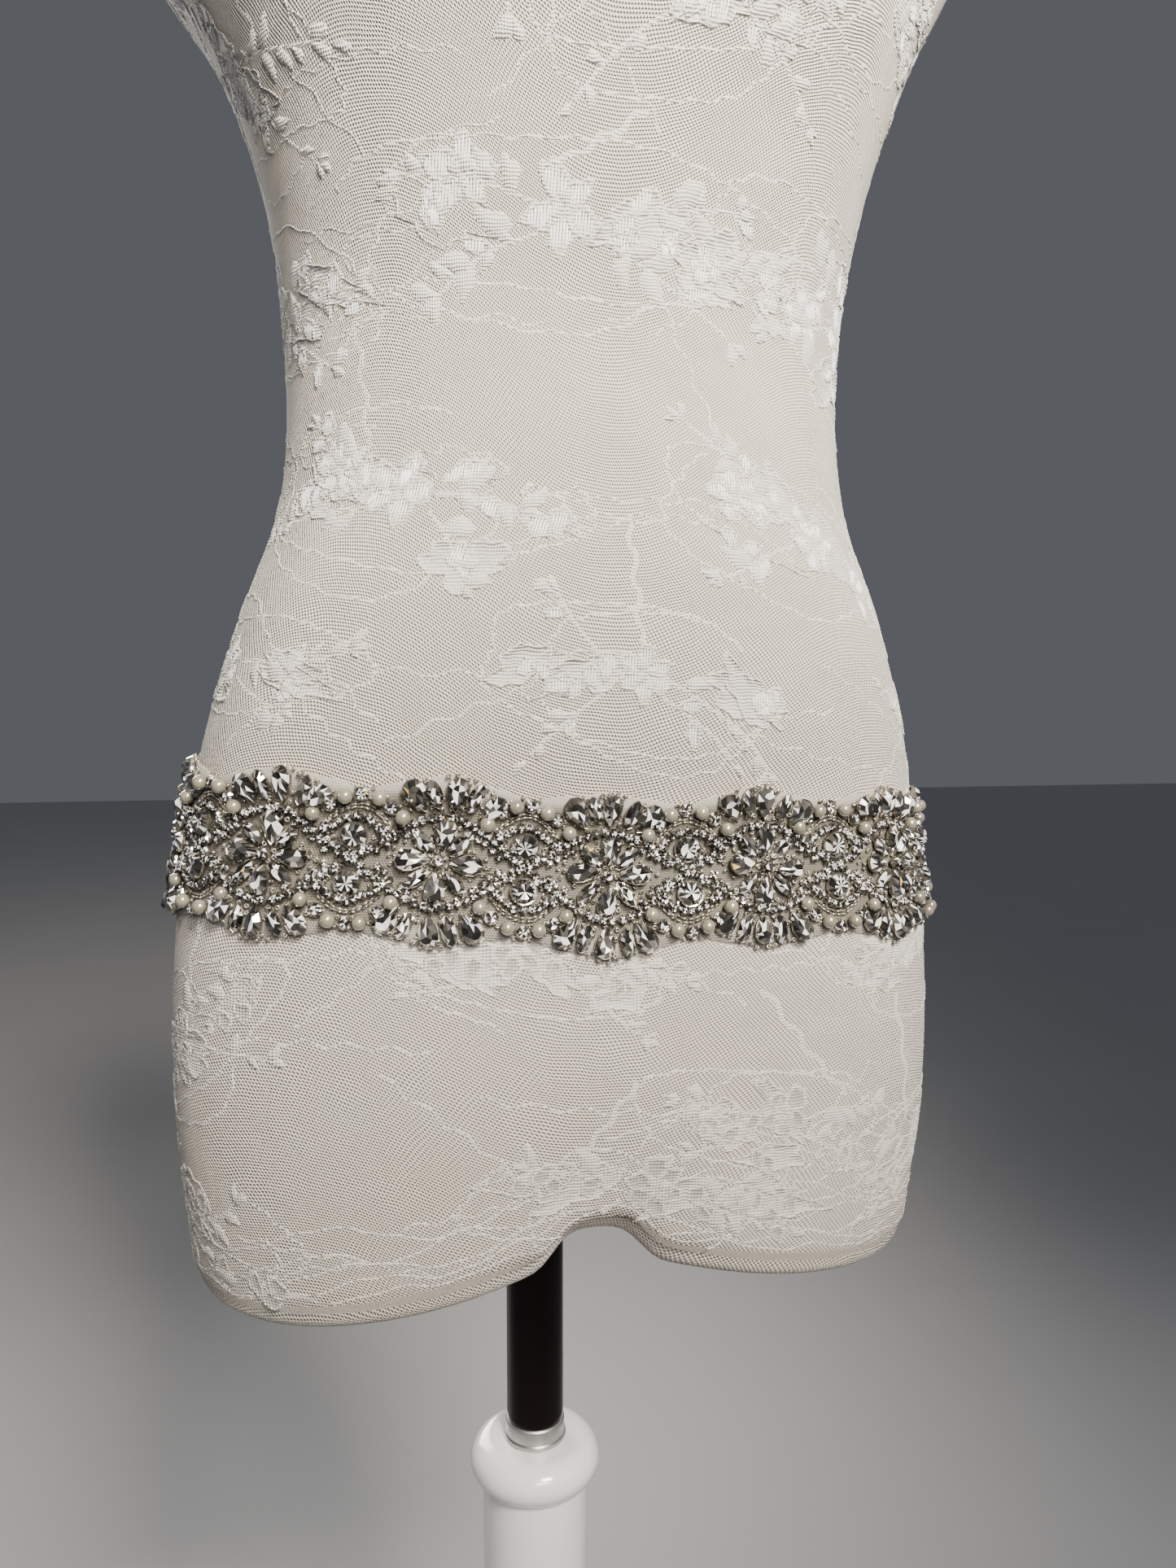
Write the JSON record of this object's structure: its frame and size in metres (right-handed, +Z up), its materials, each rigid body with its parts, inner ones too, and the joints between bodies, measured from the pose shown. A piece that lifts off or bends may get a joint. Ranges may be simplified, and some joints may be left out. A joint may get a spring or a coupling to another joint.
{
  "type": "bridal sash on dress form",
  "caption": "Bridal sash of crystal and pearl clusters sewn to a scalloped net band, worn round the hips of a limbless lace-covered dress form on a turned stand.",
  "frame": {"origin": "on the floor under the pole, at the middle of the stand's round foot", "axes": "+Z up along the pole, the form's front faces -Y, +X is to the right of a viewer facing the front"},
  "size_m": [0.3812, 0.36, 1.51],
  "materials": {
    "lace_cover": "stretch lace over knit",
    "net": "sheer net",
    "crystal": "foiled crystal and pearl in silver settings",
    "white_paint": "gloss",
    "dark_pole": "gloss",
    "grey_ring": "satin"
  },
  "bodies": {
    "root": {"closure_tab": "net", "dress_form": "lace_cover", "link_01": "crystal", "link_02": "crystal", "link_03": "crystal", "link_04": "crystal", "link_05": "crystal", "link_06": "crystal", "link_07": "crystal", "link_08": "crystal", "link_09": "crystal", "link_10": "crystal", "link_11": "crystal", "link_12": "crystal", "link_13": "crystal", "link_14": "crystal", "link_15": "crystal", "medallion_01": "crystal", "medallion_02": "crystal", "medallion_03": "crystal", "medallion_04": "crystal", "medallion_05": "crystal", "medallion_06": "crystal", "medallion_07": "crystal", "medallion_08": "crystal", "medallion_09": "crystal", "medallion_10": "crystal", "medallion_11": "crystal", "medallion_12": "crystal", "medallion_13": "crystal", "medallion_14": "crystal", "medallion_15": "crystal", "medallion_16": "crystal", "net_band": "net", "pole": "dark_pole", "pole_ring": "grey_ring", "stand_column": "white_paint", "stand_foot": "white_paint"}
  },
  "joints": []
}
